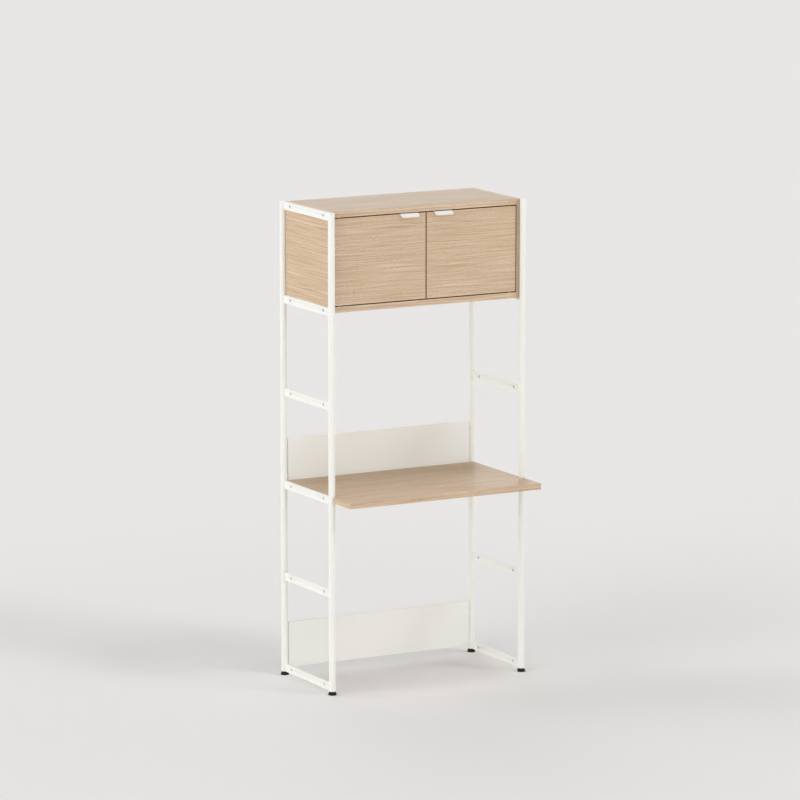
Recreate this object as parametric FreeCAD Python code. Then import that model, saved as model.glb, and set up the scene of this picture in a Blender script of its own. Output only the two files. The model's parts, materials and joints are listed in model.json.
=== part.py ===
import FreeCAD, Part
import os
from math import cos, radians, sin, sqrt
from FreeCAD import Placement, Rotation, Vector

# Free-standing shelving unit with a desk board and a two-door cabinet between two steel ladders.
# Millimetres. X runs along the desk, Y to the back, Z up from the floor.
# The origin lies on the floor, at the middle of the whole outline.

# Ladder frame
board_width = 799.0
ladder_depth = 382.0
tube_diameter = 25.0
tube_wall = 2.0
rung_count = 6
rung_pitch = 350.0
rung_height = 30.0
rung_thickness = 6.0
rung_weld_gap = 0.05
rung_hole_diameter = 8.0
rung_hole_inset = 60.0
cap_thickness = 1.5
cap_plug_length = 14.0
plug_clearance = 0.05

# Levelling feet
foot_height = 13.2
foot_base_diameter = 31.0
foot_top_diameter = 24.0
foot_rim_height = 2.5
foot_edge_radius = 1.0
foot_rest_gap = 0.3
stud_diameter = 8.0
stud_seat_depth = 7.0
stud_reach = 22.0
stud_clearance = 0.05
stud_seat_clearance = 0.02
socket_length = 26.0

# Boards
board_thickness = 22.0
board_proud = 1.0
board_tube_clearance = 3.5
desk_level = 3
desk_overhang = 144.0
desk_corner_radius = 3.0

# Set screws that carry the boards, and their sleeves
set_screw_recess = 1.0
set_screw_clearance = 0.05
set_screw_socket_width = 4.0
set_screw_socket_depth = 3.0
pin_diameter = 6.0
pin_clearance = 0.05
pin_end_gap = 2.0
sleeve_diameter = 8.0
sleeve_clearance = 0.03
desk_sleeve_length = 20.0
cabinet_sleeve_grip = 10.0

# Cabinet
side_thickness = 16.0
cabinet_back_thickness = 6.0
cabinet_back_lap = 8.0
cabinet_back_clearance = 0.5
dowel_diameter = 8.0
dowel_inset = 75.0
dowel_in_side = 10.0
dowel_in_board = 24.0
dowel_clearance = 0.03
dowel_end_gap = 0.5
back_screw_diameter = 3.0
back_screw_length = 16.0
back_screw_head_diameter = 6.0
back_screw_head_height = 1.5
back_screw_inset = 60.0
back_screw_clearance = 0.05

# Doors
door_thickness = 18.0
door_gap = 3.0
door_pivot_inset = 22.0
door_pivot_setback = 9.0
pivot_diameter = 6.0
pivot_in_door = 20.0
pivot_in_bush = 8.0
pivot_running_clearance = 0.05
pivot_seat_clearance = 0.02
pivot_collar_diameter = 10.0
pivot_collar_gap = 0.1
bush_diameter = 10.0
bush_length = 10.0
bush_seat_clearance = 0.03

# Door pulls
pull_width = 75.0
pull_from_door_edge = 32.5
pull_sheet = 1.5
pull_flange_depth = 12.0
pull_bend_radius = 1.0
pull_slope = 35.0
pull_lip_length = 20.2
pull_corner_radius = 8.0
pull_rebate_clearance = 0.25
pull_screw_diameter = 3.5
pull_screw_length = 20.0
pull_screw_head_diameter = 7.0
pull_screw_spacing = 45.0
pull_screw_clearance = 0.05

# Magnetic catches
catch_width = 40.0
catch_depth = 14.0
catch_height = 16.0
catch_from_centre = 8.0
catch_gap = 0.3
catch_screw_diameter = 3.0
catch_screw_length = 26.0
catch_screw_head_diameter = 6.0
catch_screw_head_height = 2.0
catch_screw_spacing = 26.0
catch_screw_clearance = 0.05
strike_width = 32.0
strike_height = 10.0
strike_thickness = 1.5
strike_drop = 3.0
strike_screw_diameter = 3.0
strike_screw_length = 12.0
strike_screw_head_diameter = 6.0
strike_screw_clearance = 0.05

# Back panels
panel_height = 175.0
panel_depth = 12.0
panel_sheet = 1.5
panel_drop = 2.0
panel_end_gap = 1.0
lower_panel_level = 1
upper_panel_level = 3
boss_diameter = 10.0
boss_in_tube = 6.0
boss_inset = 30.0
boss_clearance = 0.03
panel_screw_diameter = 5.0
panel_screw_clearance = 0.05
panel_screw_head_diameter = 8.5
panel_screw_head_height = 3.0
panel_screw_socket_width = 3.0
panel_screw_socket_depth = 1.8

# Places that follow from the driving dimensions
tube_radius = tube_diameter / 2
tube_bore_radius = tube_radius - tube_wall
ladder_x = (board_width + rung_thickness) / 2
overall_depth = desk_overhang + ladder_depth + foot_base_diameter / 2
front_axis_y = desk_overhang - overall_depth / 2
rear_axis_y = front_axis_y + ladder_depth
tube_bottom = foot_height + foot_rest_gap
tube_top = tube_bottom + (rung_count - 1) * rung_pitch + rung_height - cap_thickness
hole_front_y = front_axis_y + rung_hole_inset
hole_rear_y = rear_axis_y - rung_hole_inset
board_front_y = front_axis_y + tube_radius + board_tube_clearance
board_rear_y = rear_axis_y - tube_radius - board_tube_clearance
board_half = board_width / 2
side_inner_x = board_half - side_thickness
door_outer_x = side_inner_x - door_gap
door_inner_x = door_gap / 2
door_rear_y = board_front_y + door_thickness
pivot_x = door_outer_x - door_pivot_inset
pivot_y = board_front_y + door_pivot_setback
panel_half = ladder_x - tube_radius - panel_end_gap
panel_front_y = rear_axis_y - panel_depth / 2

SIDES = {"left": -1, "right": 1}
ENDS = {"front": front_axis_y, "rear": rear_axis_y}
TOLERANCE = 1e-6


def rung_z(level):
    """Height of the middle of a rung; level 1 is the lowest."""
    return tube_bottom + rung_height / 2 + (level - 1) * rung_pitch


def board_top_z(level):
    """Upper face of a board carried by the rungs of one level."""
    return rung_z(level) + rung_height / 2 + board_proud


desk_top_z = board_top_z(desk_level)
cabinet_top_z = board_top_z(rung_count)
cabinet_floor_z = board_top_z(rung_count - 1)
cabinet_under_z = cabinet_floor_z - board_thickness
cabinet_ceiling_z = cabinet_top_z - board_thickness
door_top_z = cabinet_ceiling_z - door_gap
door_bottom_z = cabinet_floor_z + door_gap


def box(x_ends, y_ends, z_ends):
    low = [min(ends) for ends in (x_ends, y_ends, z_ends)]
    size = [max(ends) - min(ends) for ends in (x_ends, y_ends, z_ends)]
    return Part.makeBox(*size, Vector(*low))


def rod_x(x_ends, y, z, radius):
    return Part.makeCylinder(radius, abs(x_ends[1] - x_ends[0]), Vector(min(x_ends), y, z), Vector(1, 0, 0))


def rod_y(x, y_ends, z, radius):
    return Part.makeCylinder(radius, abs(y_ends[1] - y_ends[0]), Vector(x, min(y_ends), z), Vector(0, 1, 0))


def rod_z(x, y, z_ends, radius):
    return Part.makeCylinder(radius, abs(z_ends[1] - z_ends[0]), Vector(x, y, min(z_ends)))


def hex_socket(width, depth, mouth, inward):
    """Prism for a hexagon socket, from its mouth inward along one axis."""
    corner_radius = width / sqrt(3)
    angles = [radians(angle) for angle in range(0, 361, 60)]
    corners = [Vector(cos(angle), sin(angle), 0) * corner_radius for angle in angles]
    prism = Part.Face(Part.makePolygon(corners)).extrude(Vector(0, 0, depth))
    prism.Placement = Placement(mouth, Rotation(Vector(0, 0, 1), inward))
    return prism


def mirrored(shape, side):
    """A right-hand shape as it is, or its left-hand mirror image."""
    if side > 0:
        return shape
    return shape.mirror(Vector(0, 0, 0), Vector(1, 0, 0))


def save(name, *solids):
    shape = solids[0] if len(solids) == 1 else Part.makeCompound(list(solids))
    shape.exportStep("parts/" + name + ".step")


def boss_heights():
    """Heights of the threaded bosses at each end of the two back panels."""
    heights = []
    for level in (lower_panel_level, upper_panel_level):
        low = rung_z(level) - panel_drop
        heights += [low + boss_inset, low + panel_height - boss_inset]
    return heights


def upright(side, y, is_rear):
    x = side * ladder_x
    tube = rod_z(x, y, (tube_bottom, tube_top), tube_radius)
    tube = tube.cut(rod_z(x, y, (tube_bottom, tube_top), tube_bore_radius))
    if is_rear:
        for z in boss_heights():
            tube = tube.cut(rod_x((x, x - side * tube_diameter), y, z, boss_diameter / 2 + boss_clearance))
    return tube


def rung(side, level):
    x = side * ladder_x
    x_ends = (x - rung_thickness / 2, x + rung_thickness / 2)
    z_ends = (rung_z(level) - rung_height / 2, rung_z(level) + rung_height / 2)
    bar = box(x_ends, (front_axis_y, rear_axis_y), z_ends)
    for y in ENDS.values():
        bar = bar.cut(rod_z(x, y, z_ends, tube_radius + rung_weld_gap))
    for y in (hole_front_y, hole_rear_y):
        bar = bar.cut(rod_x(x_ends, y, rung_z(level), rung_hole_diameter / 2))
    return bar


def top_cap(side, y):
    x = side * ladder_x
    disc = rod_z(x, y, (tube_top, tube_top + cap_thickness), tube_radius)
    plug = rod_z(x, y, (tube_top - cap_plug_length, tube_top), tube_bore_radius - plug_clearance)
    return disc.fuse(plug)


def foot_socket(side, y):
    x = side * ladder_x
    z_ends = (tube_bottom, tube_bottom + socket_length)
    plug = rod_z(x, y, z_ends, tube_bore_radius - plug_clearance)
    return plug.cut(rod_z(x, y, z_ends, stud_diameter / 2 + stud_clearance))


def foot_pad(side, y):
    """Low cone on a short upright rim, with a blind seat for the stud."""
    base_radius = foot_base_diameter / 2
    rim = rod_z(0, 0, (0, foot_rim_height), base_radius)
    floor_edges = [edge for edge in rim.Edges if edge.BoundBox.ZMax < foot_edge_radius]
    rim = rim.makeFillet(foot_edge_radius, floor_edges)
    cone_height = foot_height - foot_rim_height
    cone = Part.makeCone(base_radius, foot_top_diameter / 2, cone_height, Vector(0, 0, foot_rim_height))
    seat = rod_z(0, 0, (foot_height - stud_seat_depth, foot_height), stud_diameter / 2 + stud_seat_clearance)
    return rim.fuse(cone).removeSplitter().cut(seat).translated(Vector(side * ladder_x, y, 0))


def foot_stud(side, y):
    z_ends = (foot_height - stud_seat_depth, tube_bottom + stud_reach)
    return rod_z(side * ladder_x, y, z_ends, stud_diameter / 2)


def back_panel(level):
    low = rung_z(level) - panel_drop
    x_ends = (-panel_half, panel_half)
    tray = box(x_ends, (panel_front_y, panel_front_y + panel_depth), (low, low + panel_height))
    hollow_x = (-panel_half + panel_sheet, panel_half - panel_sheet)
    hollow_y = (panel_front_y + panel_sheet, panel_front_y + panel_depth)
    tray = tray.cut(box(hollow_x, hollow_y, (low + panel_sheet, low + panel_height - panel_sheet)))
    for z in (low + boss_inset, low + panel_height - boss_inset):
        tray = tray.cut(rod_x(x_ends, rear_axis_y, z, panel_screw_diameter / 2 + panel_screw_clearance))
    return tray


def panel_boss(side, z):
    x_ends = (side * panel_half, side * (panel_half + panel_end_gap + boss_in_tube))
    boss = rod_x(x_ends, rear_axis_y, z, boss_diameter / 2)
    return boss.cut(rod_x(x_ends, rear_axis_y, z, panel_screw_diameter / 2 + panel_screw_clearance))


def panel_screw(side, z):
    seat_x = side * (panel_half - panel_sheet)
    tip_x = side * (panel_half + panel_end_gap + boss_in_tube)
    head_x = seat_x - side * panel_screw_head_height
    screw = rod_x((seat_x, head_x), rear_axis_y, z, panel_screw_head_diameter / 2)
    screw = screw.fuse(rod_x((seat_x, tip_x), rear_axis_y, z, panel_screw_diameter / 2))
    mouth = Vector(head_x, rear_axis_y, z)
    inward = Vector(side, 0, 0)
    return screw.cut(hex_socket(panel_screw_socket_width, panel_screw_socket_depth, mouth, inward))


def sleeve_bore(side, y, z, length):
    x_ends = (side * board_half, side * (board_half - length))
    return rod_x(x_ends, y, z, sleeve_diameter / 2 + sleeve_clearance)


def pin_sleeve(side, y, z, length):
    x_ends = (side * board_half, side * (board_half - length))
    sleeve = rod_x(x_ends, y, z, sleeve_diameter / 2)
    return sleeve.cut(rod_x(x_ends, y, z, pin_diameter / 2 + pin_clearance))


def set_screw(side, y, z, sleeve_length):
    """Headless screw in the rung's thread, with a plain pin that carries the board."""
    mouth_x = side * (board_half + rung_thickness - set_screw_recess)
    seat_x = side * board_half
    tip_x = side * (board_half - sleeve_length + pin_end_gap)
    screw = rod_x((mouth_x, seat_x), y, z, rung_hole_diameter / 2 - set_screw_clearance)
    screw = screw.fuse(rod_x((seat_x, tip_x), y, z, pin_diameter / 2))
    mouth = Vector(mouth_x, y, z)
    inward = Vector(-side, 0, 0)
    return screw.cut(hex_socket(set_screw_socket_width, set_screw_socket_depth, mouth, inward))


def carrying_points(level):
    """The four holes that carry a board: side, Y and Z."""
    return [(side, y, rung_z(level)) for side in SIDES.values() for y in (hole_front_y, hole_rear_y)]


def desk_board():
    """Board between the rungs, with a wider part in front of the uprights."""
    z_ends = (desk_top_z - board_thickness, desk_top_z)
    desk_front_y = front_axis_y - desk_overhang
    nose = box((-ladder_x, ladder_x), (desk_front_y, front_axis_y), z_ends)
    front_edges = [edge for edge in nose.Edges if edge.BoundBox.YMax < desk_front_y + TOLERANCE]
    corners = [edge for edge in front_edges if edge.BoundBox.XLength < TOLERANCE]
    nose = nose.makeFillet(desk_corner_radius, corners)
    board = nose.fuse(box((-board_half, board_half), (front_axis_y, board_rear_y), z_ends)).removeSplitter()
    for side in SIDES.values():
        board = board.cut(rod_z(side * ladder_x, front_axis_y, z_ends, tube_radius + board_tube_clearance))
    for side, y, z in carrying_points(desk_level):
        board = board.cut(sleeve_bore(side, y, z, desk_sleeve_length))
    return board


def dowel_places():
    """Y places of the three dowels in each corner of the cabinet."""
    return (board_front_y + dowel_inset, (board_front_y + board_rear_y) / 2, board_rear_y - dowel_inset)


def cabinet_levels():
    """Rung level and middle height of the cabinet's two level boards."""
    half = board_thickness / 2
    return ((rung_count - 1, cabinet_floor_z - half), (rung_count, cabinet_top_z - half))


def dowel_bore(side, y, z):
    inner_x = side_inner_x - dowel_in_board - dowel_end_gap
    outer_x = side_inner_x + dowel_in_side + dowel_end_gap
    return rod_x((side * inner_x, side * outer_x), y, z, dowel_diameter / 2 + dowel_clearance)


def dowel(side, y, z):
    x_ends = (side * (side_inner_x - dowel_in_board), side * (side_inner_x + dowel_in_side))
    return rod_x(x_ends, y, z, dowel_diameter / 2)


def cabinet_sleeve_length():
    return side_thickness + cabinet_sleeve_grip


def back_rebate():
    """The space that the back board takes, with the play round it."""
    half = side_inner_x + cabinet_back_lap
    z_ends = (cabinet_floor_z - cabinet_back_lap, cabinet_ceiling_z + cabinet_back_lap)
    return box((-half, half), (board_rear_y - cabinet_back_thickness, board_rear_y), z_ends)


def drilled(board):
    """Cut the cabinet's shared bores and the back rebate out of one of its boards."""
    board = board.cut(back_rebate())
    for level, middle_z in cabinet_levels():
        for side, y, z in carrying_points(level):
            board = board.cut(sleeve_bore(side, y, z, cabinet_sleeve_length()))
        for side in SIDES.values():
            for y in dowel_places():
                board = board.cut(dowel_bore(side, y, middle_z))
    for x, z in back_screw_places():
        board = board.cut(back_screw_bore(x, z))
    return board


def cabinet_side(side):
    x_ends = (side * side_inner_x, side * board_half)
    return drilled(box(x_ends, (board_front_y, board_rear_y), (cabinet_under_z, cabinet_top_z)))


def cabinet_level_board(z_ends, bush_z_ends):
    board = drilled(box((-side_inner_x, side_inner_x), (board_front_y, board_rear_y), z_ends))
    seat_radius = bush_diameter / 2 + bush_seat_clearance
    for side in SIDES.values():
        board = board.cut(rod_z(side * pivot_x, pivot_y, bush_z_ends, seat_radius))
    return board


def back_screw_places():
    """X and Z of the screws round the edge of the cabinet's back board."""
    half = side_inner_x + cabinet_back_lap / 2
    low = cabinet_floor_z - cabinet_back_lap / 2
    high = cabinet_ceiling_z + cabinet_back_lap / 2
    middle = (low + high) / 2
    rows = [(x, z) for z in (low, high) for x in (back_screw_inset - half, 0, half - back_screw_inset)]
    return rows + [(-half, middle), (half, middle)]


def back_screw_bore(x, z):
    y_ends = (board_rear_y, board_rear_y - back_screw_length)
    return rod_y(x, y_ends, z, back_screw_diameter / 2 + back_screw_clearance)


def back_screw(x, z):
    shank = rod_y(x, (board_rear_y, board_rear_y - back_screw_length), z, back_screw_diameter / 2)
    head = rod_y(x, (board_rear_y, board_rear_y + back_screw_head_height), z, back_screw_head_diameter / 2)
    return shank.fuse(head)


def cabinet_back():
    half = side_inner_x + cabinet_back_lap - cabinet_back_clearance
    low = cabinet_floor_z - cabinet_back_lap + cabinet_back_clearance
    high = cabinet_ceiling_z + cabinet_back_lap - cabinet_back_clearance
    board = box((-half, half), (board_rear_y - cabinet_back_thickness, board_rear_y), (low, high))
    for x, z in back_screw_places():
        board = board.cut(back_screw_bore(x, z))
    return board


def door_bush(side, z_face, into_board):
    """Bush flush with the board's face; into_board is +1 upward or -1 downward."""
    z_ends = (z_face, z_face + into_board * bush_length)
    x = side * pivot_x
    bush = rod_z(x, pivot_y, z_ends, bush_diameter / 2)
    return bush.cut(rod_z(x, pivot_y, z_ends, pivot_diameter / 2 + pivot_running_clearance))


def pivot_pin(side, z_face, into_board):
    """Pin pressed into the door's edge, which turns in the bush; the lower one has a collar."""
    door_z = z_face - into_board * door_gap
    x = side * pivot_x
    z_ends = (door_z - into_board * pivot_in_door, z_face + into_board * pivot_in_bush)
    pin = rod_z(x, pivot_y, z_ends, pivot_diameter / 2)
    if into_board < 0:
        collar_z = (z_face + pivot_collar_gap, door_z)
        pin = pin.fuse(rod_z(x, pivot_y, collar_z, pivot_collar_diameter / 2))
    return pin


def pull_middle_x():
    return door_inner_x + pull_from_door_edge + pull_width / 2


def pull_screw_places():
    half = pull_screw_spacing / 2
    return [(pull_middle_x() - half, pull_screw_y()), (pull_middle_x() + half, pull_screw_y())]


def pull_screw_y():
    return board_front_y + pull_flange_depth / 2


def pull_screw_shape(x, y, play):
    """Countersunk screw from above, or its hole where play is given."""
    head_radius = pull_screw_head_diameter / 2 + play
    shank_radius = pull_screw_diameter / 2 + play
    head = Part.makeCone(shank_radius, head_radius, pull_sheet, Vector(x, y, door_top_z - pull_sheet))
    return head.fuse(rod_z(x, y, (door_top_z - pull_screw_length, door_top_z - pull_sheet), shank_radius))


def strike_x_ends():
    middle = door_inner_x + catch_from_centre + catch_width / 2
    return (middle - strike_width / 2, middle + strike_width / 2)


def strike_middle():
    return Vector(sum(strike_x_ends()) / 2, door_rear_y, door_top_z - strike_drop - strike_height / 2)


def strike_screw_shape(play):
    """Countersunk screw through the strike plate into the back of the door, or its hole."""
    middle = strike_middle()
    head_radius = strike_screw_head_diameter / 2 + play
    shank_radius = strike_screw_diameter / 2 + play
    head = Part.makeCone(shank_radius, head_radius, strike_thickness, middle, Vector(0, 1, 0))
    y_ends = (door_rear_y, door_rear_y - strike_screw_length)
    return head.fuse(rod_y(middle.x, y_ends, middle.z, shank_radius))


def door(side):
    """Inset door, made as the right-hand one and mirrored for the left."""
    panel = box((door_inner_x, door_outer_x), (board_front_y, door_rear_y), (door_bottom_z, door_top_z))
    seat_radius = pivot_diameter / 2 + pivot_seat_clearance
    panel = panel.cut(rod_z(pivot_x, pivot_y, (door_top_z - pivot_in_door, door_top_z), seat_radius))
    panel = panel.cut(rod_z(pivot_x, pivot_y, (door_bottom_z, door_bottom_z + pivot_in_door), seat_radius))
    half = pull_width / 2 + pull_rebate_clearance
    rebate_y = (board_front_y, board_front_y + pull_flange_depth + pull_rebate_clearance)
    rebate_x = (pull_middle_x() - half, pull_middle_x() + half)
    panel = panel.cut(box(rebate_x, rebate_y, (door_top_z - pull_sheet, door_top_z)))
    for x, y in pull_screw_places():
        panel = panel.cut(pull_screw_shape(x, y, pull_screw_clearance))
    panel = panel.cut(strike_screw_shape(strike_screw_clearance))
    return mirrored(panel, side)


def pull_profile():
    """Outline of the bent sheet across the door, drawn in the plane X = 0."""
    outer_radius = pull_bend_radius + pull_sheet
    bend_centre = Vector(0, board_front_y, door_top_z - outer_radius)
    lip_run = Vector(0, -cos(radians(pull_slope)), -sin(radians(pull_slope))) * pull_lip_length

    def on_bend(radius, turn):
        return bend_centre + Vector(0, -sin(radians(turn)), cos(radians(turn))) * radius

    flange_run = Vector(0, pull_flange_depth, 0)
    outer = [on_bend(outer_radius, turn) for turn in (0, pull_slope / 2, pull_slope)]
    inner = [on_bend(pull_bend_radius, turn) for turn in (0, pull_slope / 2, pull_slope)]
    edges = [
        Part.LineSegment(outer[0] + flange_run, outer[0]),
        Part.Arc(*outer),
        Part.LineSegment(outer[2], outer[2] + lip_run),
        Part.LineSegment(outer[2] + lip_run, inner[2] + lip_run),
        Part.LineSegment(inner[2] + lip_run, inner[2]),
        Part.Arc(*reversed(inner)),
        Part.LineSegment(inner[0], inner[0] + flange_run),
        Part.LineSegment(inner[0] + flange_run, outer[0] + flange_run),
    ]
    return Part.Face(Part.Wire([edge.toShape() for edge in edges]))


def door_pull(side):
    """Sheet pull: a flange let into the door's top edge, bent to a lip that slopes down and forward."""
    pull = pull_profile().extrude(Vector(pull_width, 0, 0))
    lip_middle_y = board_front_y - pull_lip_length * cos(radians(pull_slope)) / 2
    lip_edges = [edge for edge in pull.Edges if edge.BoundBox.YMax < lip_middle_y]
    corners = [edge for edge in lip_edges if edge.BoundBox.XLength < TOLERANCE]
    pull = pull.makeFillet(pull_corner_radius, corners)
    pull = pull.translated(Vector(pull_middle_x() - pull_width / 2, 0, 0))
    for x, y in pull_screw_places():
        pull = pull.cut(pull_screw_shape(x, y, pull_screw_clearance))
    return mirrored(pull, side)


def catch_screw_shape(x, y, play):
    """Screw up through the catch into the cabinet's top, or its hole."""
    low = cabinet_ceiling_z - catch_height
    head = rod_z(x, y, (low, low + catch_screw_head_height), catch_screw_head_diameter / 2 + play)
    return head.fuse(rod_z(x, y, (low, low + catch_screw_length), catch_screw_diameter / 2 + play))


def catch_y_ends():
    front = door_rear_y + strike_thickness + catch_gap
    return (front, front + catch_depth)


def catch_screw_places():
    middle = door_inner_x + catch_from_centre + catch_width / 2
    y = sum(catch_y_ends()) / 2
    return [(middle - catch_screw_spacing / 2, y), (middle + catch_screw_spacing / 2, y)]


def door_catch(side):
    x_ends = (door_inner_x + catch_from_centre, door_inner_x + catch_from_centre + catch_width)
    block = box(x_ends, catch_y_ends(), (cabinet_ceiling_z - catch_height, cabinet_ceiling_z))
    for x, y in catch_screw_places():
        block = block.cut(catch_screw_shape(x, y, catch_screw_clearance))
    return mirrored(block, side)


def strike_plate(side):
    middle = strike_middle()
    z_ends = (middle.z - strike_height / 2, middle.z + strike_height / 2)
    plate = box(strike_x_ends(), (door_rear_y, door_rear_y + strike_thickness), z_ends)
    return mirrored(plate.cut(strike_screw_shape(strike_screw_clearance)), side)


def cabinet_top():
    bush_z = (cabinet_ceiling_z, cabinet_ceiling_z + bush_length)
    board = cabinet_level_board((cabinet_ceiling_z, cabinet_top_z), bush_z)
    for side in SIDES.values():
        for x, y in catch_screw_places():
            board = board.cut(mirrored(catch_screw_shape(x, y, catch_screw_clearance), side))
    return board


def cabinet_bottom():
    bush_z = (cabinet_floor_z - bush_length, cabinet_floor_z)
    return cabinet_level_board((cabinet_under_z, cabinet_floor_z), bush_z)


def save_ladders():
    for side_name, side in SIDES.items():
        for end_name, y in ENDS.items():
            place = side_name + "_" + end_name
            save(place + "_upright", upright(side, y, end_name == "rear"))
            save(place + "_foot", foot_pad(side, y))
            save(place + "_foot_stud", foot_stud(side, y))
        for level in range(1, rung_count + 1):
            save(side_name + "_rung_" + str(level), rung(side, level))
    corners = [(side, y) for side in SIDES.values() for y in ENDS.values()]
    save("upright_top_caps", *[top_cap(side, y) for side, y in corners])
    save("foot_sockets", *[foot_socket(side, y) for side, y in corners])


def save_back_panels():
    save("lower_back_panel", back_panel(lower_panel_level))
    save("upper_back_panel", back_panel(upper_panel_level))
    places = [(side, z) for side in SIDES.values() for z in boss_heights()]
    save("panel_bosses", *[panel_boss(side, z) for side, z in places])
    save("panel_screws", *[panel_screw(side, z) for side, z in places])


def save_desk():
    points = carrying_points(desk_level)
    save("desk_top", desk_board())
    save("desk_pin_sleeves", *[pin_sleeve(*point, desk_sleeve_length) for point in points])
    save("desk_set_screws", *[set_screw(*point, desk_sleeve_length) for point in points])


def save_cabinet():
    save("cabinet_top", cabinet_top())
    save("cabinet_bottom", cabinet_bottom())
    for side_name, side in SIDES.items():
        save("cabinet_" + side_name + "_side", cabinet_side(side))
    save("cabinet_back", cabinet_back())
    save("cabinet_back_screws", *[back_screw(x, z) for x, z in back_screw_places()])
    corners = [(side, z) for _, z in cabinet_levels() for side in SIDES.values()]
    save("cabinet_dowels", *[dowel(side, y, z) for side, z in corners for y in dowel_places()])
    points = [point for level, _ in cabinet_levels() for point in carrying_points(level)]
    save("cabinet_pin_sleeves", *[pin_sleeve(*point, cabinet_sleeve_length()) for point in points])
    save("cabinet_set_screws", *[set_screw(*point, cabinet_sleeve_length()) for point in points])


def save_doors():
    pivot_faces = ((cabinet_ceiling_z, 1), (cabinet_floor_z, -1))
    save("door_bushes", *[door_bush(side, *face) for side in SIDES.values() for face in pivot_faces])
    save("door_catches", *[door_catch(side) for side in SIDES.values()])
    catch_screws = [catch_screw_shape(x, y, 0) for x, y in catch_screw_places()]
    save("catch_screws", *[mirrored(screw, side) for side in SIDES.values() for screw in catch_screws])
    for side_name, side in SIDES.items():
        save(side_name + "_door", door(side))
        save(side_name + "_door_pivot_pins", *[pivot_pin(side, *face) for face in pivot_faces])
        save(side_name + "_door_pull", door_pull(side))
        pull_screws = [pull_screw_shape(x, y, 0) for x, y in pull_screw_places()]
        save(side_name + "_pull_screws", *[mirrored(screw, side) for screw in pull_screws])
        save(side_name + "_strike_plate", strike_plate(side))
        save(side_name + "_strike_screw", mirrored(strike_screw_shape(0), side))


os.makedirs("parts", exist_ok=True)
save_ladders()
save_back_panels()
save_desk()
save_cabinet()
save_doors()
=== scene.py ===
import json
from math import cos, pi, radians, sin, sqrt

import bmesh
import bpy
from mathutils import Matrix, Vector


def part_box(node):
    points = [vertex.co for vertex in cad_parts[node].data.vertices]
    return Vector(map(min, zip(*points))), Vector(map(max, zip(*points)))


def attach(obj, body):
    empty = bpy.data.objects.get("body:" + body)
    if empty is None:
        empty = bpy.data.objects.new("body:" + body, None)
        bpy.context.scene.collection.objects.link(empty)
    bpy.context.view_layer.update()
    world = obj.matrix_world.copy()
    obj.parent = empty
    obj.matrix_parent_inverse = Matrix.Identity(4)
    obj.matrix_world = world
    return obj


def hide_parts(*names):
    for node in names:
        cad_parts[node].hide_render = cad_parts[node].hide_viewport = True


# Shelving unit with a desk board and a two-door cabinet between two white steel ladders.
# Metres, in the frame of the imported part: X runs along the desk, Y to the back, Z up from the floor.

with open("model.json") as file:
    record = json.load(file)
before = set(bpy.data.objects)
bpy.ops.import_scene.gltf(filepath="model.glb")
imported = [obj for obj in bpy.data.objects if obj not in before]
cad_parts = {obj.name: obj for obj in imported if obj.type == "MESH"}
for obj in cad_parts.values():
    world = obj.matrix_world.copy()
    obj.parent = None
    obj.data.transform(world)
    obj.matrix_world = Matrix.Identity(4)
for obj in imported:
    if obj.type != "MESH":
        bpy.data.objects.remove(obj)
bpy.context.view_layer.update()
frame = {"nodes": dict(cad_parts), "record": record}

MM = 0.001
SIDES = {"left": -1, "right": 1}
ENDS = ("front", "rear")
X, Y, Z = 0, 1, 2

# Ladders
tube_wall = 2.0 * MM
tube_chamfer = 0.4 * MM
bar_arris = 0.5 * MM
hole_chamfer = 1.4 * MM
thread_pitch = 1.25 * MM
thread_depth = 0.55 * MM
thread_skin = 0.06 * MM
bar_weld_run = 0.5 * MM
bead_radius = 1.1 * MM
bead_end = 1.0 * MM
bead_step = 1.5 * MM
bead_ripple = 0.3
bead_ripple_length = 2.5 * MM
bead_seed = 3.0
cap_edge_radius = 0.8 * MM
cap_thickness = 1.5 * MM
cap_plug_length = 14.0 * MM
cap_plug_play = 0.05 * MM

# Levelling feet
foot_floor_edge = 1.3 * MM
foot_rim_height = 2.5 * MM
foot_top_radius = 12.0 * MM
foot_top_edge = 0.6 * MM

# Back panels
panel_sheet = 1.5 * MM
panel_fold_radius = 2.0 * MM
sheet_arris = 0.3 * MM

# Boards; the painted level shade is the share by which the veneer on a board's level faces is painted darker
# than the palest one, as shade
board_arris = 1.0 * MM
door_arris = 0.7 * MM
back_board_arris = 0.4 * MM
desk_corner_radius = 3.0 * MM
desk_notch_radius = 16.0 * MM
desk_painted_level_shade = 0.07
cabinet_top_painted_level_shade = 0.17
sheet_step = 1.7

# Door pulls
pull_sheet = 1.5 * MM
pull_flange = 12.0 * MM
pull_bend_radius = 2.5 * MM
pull_slope = radians(35)
pull_lip = 20.2 * MM
pull_corner_radius = 8.0 * MM

# Screws
set_screw_radius = 3.95 * MM
set_screw_length = 5.0 * MM
set_screw_socket = 4.0 * MM
set_screw_socket_depth = 3.0 * MM
set_screw_pin_radius = 3.0 * MM
set_screw_pin_length = 13.0 * MM
panel_screw_radius = 2.5 * MM
panel_screw_head_radius = 4.25 * MM
panel_screw_head_height = 3.0 * MM
panel_screw_socket = 3.0 * MM
panel_screw_socket_depth = 1.8 * MM
flat_screw_radius = 1.5 * MM
flat_screw_head_radius = 3.0 * MM
back_screw_inset = 60.0 * MM
strike_screw_length = 13.0 * MM
pull_screw_radius = 1.75 * MM
pull_screw_head_radius = 3.5 * MM
pull_screw_length = 18.0 * MM
pull_screw_spread = 22.5 * MM
pan_screw_head_height = 1.5 * MM
recess_depth = 0.9 * MM
screw_chamfer = 0.5 * MM
countersunk_rim = 0.1 * MM
countersunk_proud = 0.05 * MM

# Screw heads: shares of the height in a button's rim and a pan's round edge, of the radius in a cross recess
button_rim_share = 0.2
pan_edge_share = 0.7
cross_span_share = 0.55
cross_arm_share = 0.13

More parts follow.
